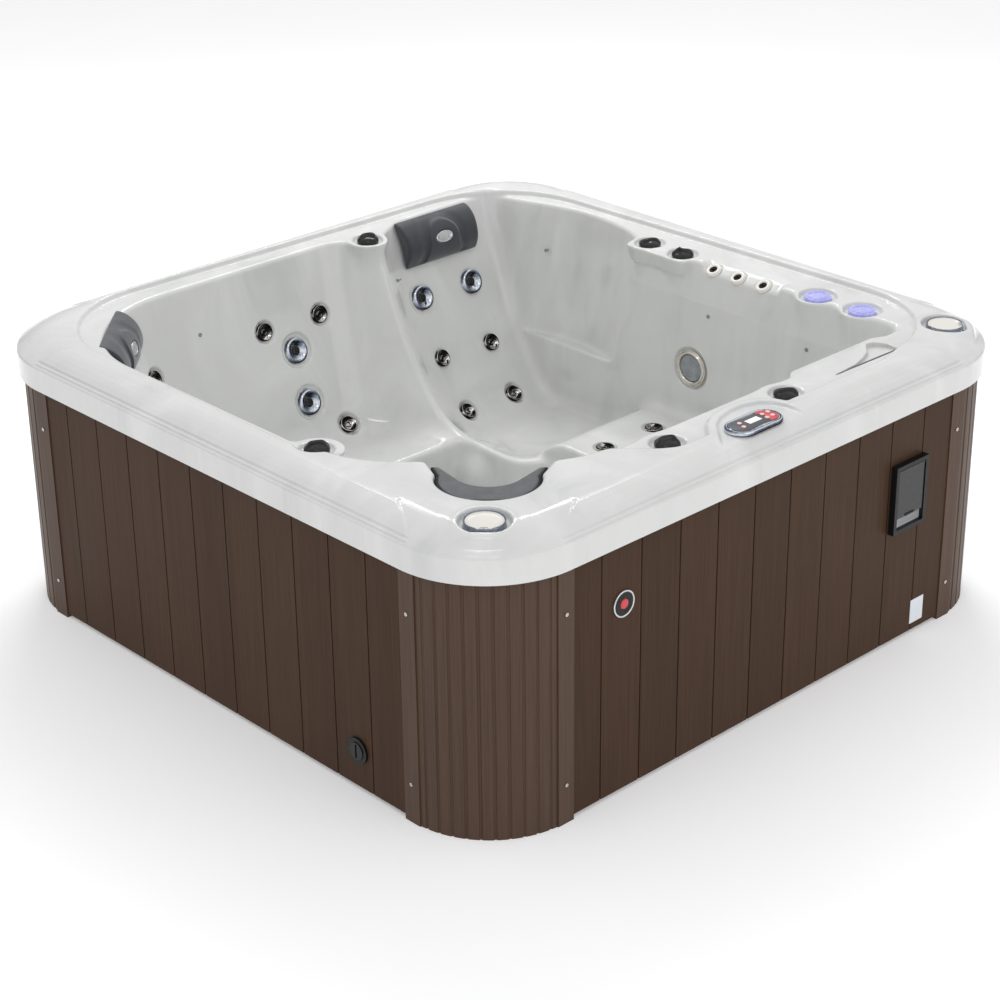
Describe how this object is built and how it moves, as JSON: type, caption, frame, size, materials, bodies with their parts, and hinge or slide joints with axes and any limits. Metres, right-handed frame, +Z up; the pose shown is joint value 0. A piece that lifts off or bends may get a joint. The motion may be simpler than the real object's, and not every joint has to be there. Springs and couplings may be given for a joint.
{
  "type": "hot tub",
  "caption": "Square acrylic hot tub with a brown board skirt, a lounger, a bench and corner seats, jets, diverter knobs, head cushions and a rim keypad.",
  "frame": {"origin": "centre of the base, on the floor plane", "axes": "+Z up; -Y is the face with the vent cover and the keypad; -X is the face with the drain"},
  "size_m": [2.13, 2.13, 0.8443],
  "materials": {
    "acrylic": "gloss, grey marbling",
    "tray": "matte",
    "timber": "sawn",
    "board": "satin, embossed wood grain",
    "corner": "satin, embossed wood grain",
    "steel": "satin",
    "badge": "gloss",
    "plate": "satin",
    "black": "satin",
    "smoke": "satin",
    "mesh": "satin",
    "chrome": "polished",
    "keyface": "satin",
    "display": "gloss",
    "button": "satin",
    "knob": "gloss",
    "pvc": "satin",
    "film": "gloss film",
    "paper": "pleated",
    "bright": "polished",
    "darkchrome": "polished",
    "collar": "gloss",
    "lens": "prismatic",
    "led": "clear",
    "cushion": "satin skinned foam",
    "cup": "gloss",
    "motor": "satin",
    "box": "satin"
  },
  "bodies": {
    "cabinet": {"shell_rim": "acrylic", "shell": "acrylic", "shell_pan": "acrylic", "lounger_pan": "acrylic", "footwell_pan": "acrylic", "base_tray": "tray", "timber_frame": "timber", "front_panel": "board", "left_panel": "board", "back_panel": "board", "right_panel": "board", "corner_cover_front_left": "corner", "corner_cover_back_left": "corner", "corner_cover_back_right": "corner", "corner_cover_front_right": "corner", "cabinet_screws": "steel", "side_badge": "badge", "data_plate": "plate", "drain_bezel": "black", "vent_frame": "black", "vent_mesh": "mesh", "keypad_bezel": "chrome", "keypad_face": "keyface", "display_window": "display", "small_jets": "darkchrome", "neck_jets": "collar", "light_ring": "chrome", "light_lens": "lens", "corner_lights": "led", "pumps": "motor", "control_box": "box", "plumbing": "pvc", "suction_covers": "collar"},
    "knob_1": {"knob_1": "knob"},
    "knob_2": {"knob_2": "knob"},
    "knob_3": {"knob_3": "knob"},
    "knob_4": {"knob_4": "knob"},
    "knob_5": {"knob_5": "knob"},
    "knob_6": {"knob_6": "knob"},
    "big_jet_1": {"big_jet_1": "bright"},
    "big_jet_2": {"big_jet_2": "bright"},
    "big_jet_3": {"big_jet_3": "bright"},
    "big_jet_4": {"big_jet_4": "bright"},
    "button_light": {"button_light": "button"},
    "button_jets_1": {"button_jets_1": "button"},
    "button_mode": {"button_mode": "button"},
    "button_up": {"button_up": "button"},
    "button_down": {"button_down": "button"},
    "button_jets_2": {"button_jets_2": "button"},
    "cushion_back": {"cushion_back": "cushion"},
    "cushion_left": {"cushion_left": "cushion"},
    "cushion_front": {"cushion_front": "cushion"},
    "filter_1": {"filter_lid_1": "film", "filter_cartridge_1": "paper"},
    "filter_2": {"filter_lid_2": "film", "filter_cartridge_2": "paper"},
    "cup_left": {"cup_insert_left": "cup"},
    "cup_right": {"cup_insert_right": "cup"},
    "drain_cap": {"drain_cap": "black"},
    "vent_flap": {"vent_flap": "smoke"}
  },
  "joints": [
    {"name": "knob_1_turn", "type": "hinge", "parent": "cabinet", "child": "knob_1", "pos_m": [0.235, 0.842, 0.82], "axis": [0, 0, 1], "range_deg": [-90, 90]},
    {"name": "knob_2_turn", "type": "hinge", "parent": "cabinet", "child": "knob_2", "pos_m": [0.834, 0.194, 0.82], "axis": [0, 0, 1], "range_deg": [-90, 90]},
    {"name": "knob_3_turn", "type": "hinge", "parent": "cabinet", "child": "knob_3", "pos_m": [0.832, 0.054, 0.82], "axis": [0, 0, 1], "range_deg": [0, 120]},
    {"name": "knob_4_turn", "type": "hinge", "parent": "cabinet", "child": "knob_4", "pos_m": [0.221, -0.876, 0.82], "axis": [0, 0, 1], "range_deg": [-90, 90]},
    {"name": "knob_5_turn", "type": "hinge", "parent": "cabinet", "child": "knob_5", "pos_m": [-0.24, -0.874, 0.82], "axis": [0, 0, 1], "range_deg": [-90, 90]},
    {"name": "knob_6_turn", "type": "hinge", "parent": "cabinet", "child": "knob_6", "pos_m": [-0.891, -0.267, 0.82], "axis": [0, 0, 1], "range_deg": [0, 120]},
    {"name": "big_jet_1_twist", "type": "hinge", "parent": "cabinet", "child": "big_jet_1", "pos_m": [-0.081, 0.82558, 0.541], "axis": [0, -0.9296, 0.3685], "range_deg": [-90, 90]},
    {"name": "big_jet_2_twist", "type": "hinge", "parent": "cabinet", "child": "big_jet_2", "pos_m": [-0.086, 0.76454, 0.387], "axis": [0, -0.9296, 0.3685], "range_deg": [-90, 90]},
    {"name": "big_jet_3_twist", "type": "hinge", "parent": "cabinet", "child": "big_jet_3", "pos_m": [0.426, 0.80094, 0.586], "axis": [0, -0.9262, 0.377], "range_deg": [-90, 90]},
    {"name": "big_jet_4_twist", "type": "hinge", "parent": "cabinet", "child": "big_jet_4", "pos_m": [0.64, 0.80053, 0.585], "axis": [0, -0.9262, 0.377], "range_deg": [-90, 90]},
    {"name": "button_light_press", "type": "slide", "parent": "cabinet", "child": "button_light", "axis": [0, 0, -1], "range_m": [0, 0.001], "stiffness_N_per_m": 800},
    {"name": "button_jets_1_press", "type": "slide", "parent": "cabinet", "child": "button_jets_1", "axis": [0, 0, -1], "range_m": [0, 0.001], "stiffness_N_per_m": 800},
    {"name": "button_mode_press", "type": "slide", "parent": "cabinet", "child": "button_mode", "axis": [0, 0, -1], "range_m": [0, 0.001], "stiffness_N_per_m": 800},
    {"name": "button_up_press", "type": "slide", "parent": "cabinet", "child": "button_up", "axis": [0, 0, -1], "range_m": [0, 0.001], "stiffness_N_per_m": 800},
    {"name": "button_down_press", "type": "slide", "parent": "cabinet", "child": "button_down", "axis": [0, 0, -1], "range_m": [0, 0.001], "stiffness_N_per_m": 800},
    {"name": "button_jets_2_press", "type": "slide", "parent": "cabinet", "child": "button_jets_2", "axis": [0, 0, -1], "range_m": [0, 0.001], "stiffness_N_per_m": 800},
    {"name": "cushion_back_pull", "type": "slide", "parent": "cabinet", "child": "cushion_back", "axis": [0, -0.9262, 0.377], "range_m": [0, 0.09]},
    {"name": "cushion_left_pull", "type": "slide", "parent": "cabinet", "child": "cushion_left", "axis": [0.6549, -0.6549, 0.377], "range_m": [0, 0.09]},
    {"name": "cushion_front_pull", "type": "slide", "parent": "cabinet", "child": "cushion_front", "axis": [0.7071, 0.7071, 0], "range_m": [0, 0.1]},
    {"name": "filter_1_lift", "type": "slide", "parent": "cabinet", "child": "filter_1", "axis": [0, 0, 1], "range_m": [0, 0.3]},
    {"name": "filter_2_lift", "type": "slide", "parent": "cabinet", "child": "filter_2", "axis": [0, 0, 1], "range_m": [0, 0.3]},
    {"name": "cup_left_lift", "type": "slide", "parent": "cabinet", "child": "cup_left", "axis": [0, 0, 1], "range_m": [0, 0.09]},
    {"name": "cup_right_lift", "type": "slide", "parent": "cabinet", "child": "cup_right", "axis": [0, 0, 1], "range_m": [0, 0.09]},
    {"name": "drain_cap_turn", "type": "hinge", "parent": "cabinet", "child": "drain_cap", "pos_m": [-1.041, -0.566, 0.121], "axis": [-1, 0, 0], "range_deg": [0, 90]},
    {"name": "vent_flap_swing", "type": "hinge", "parent": "cabinet", "child": "vent_flap", "pos_m": [0.5575, -1.056, 0.553], "axis": [-1, 0, 0], "range_deg": [0, 70]}
  ]
}
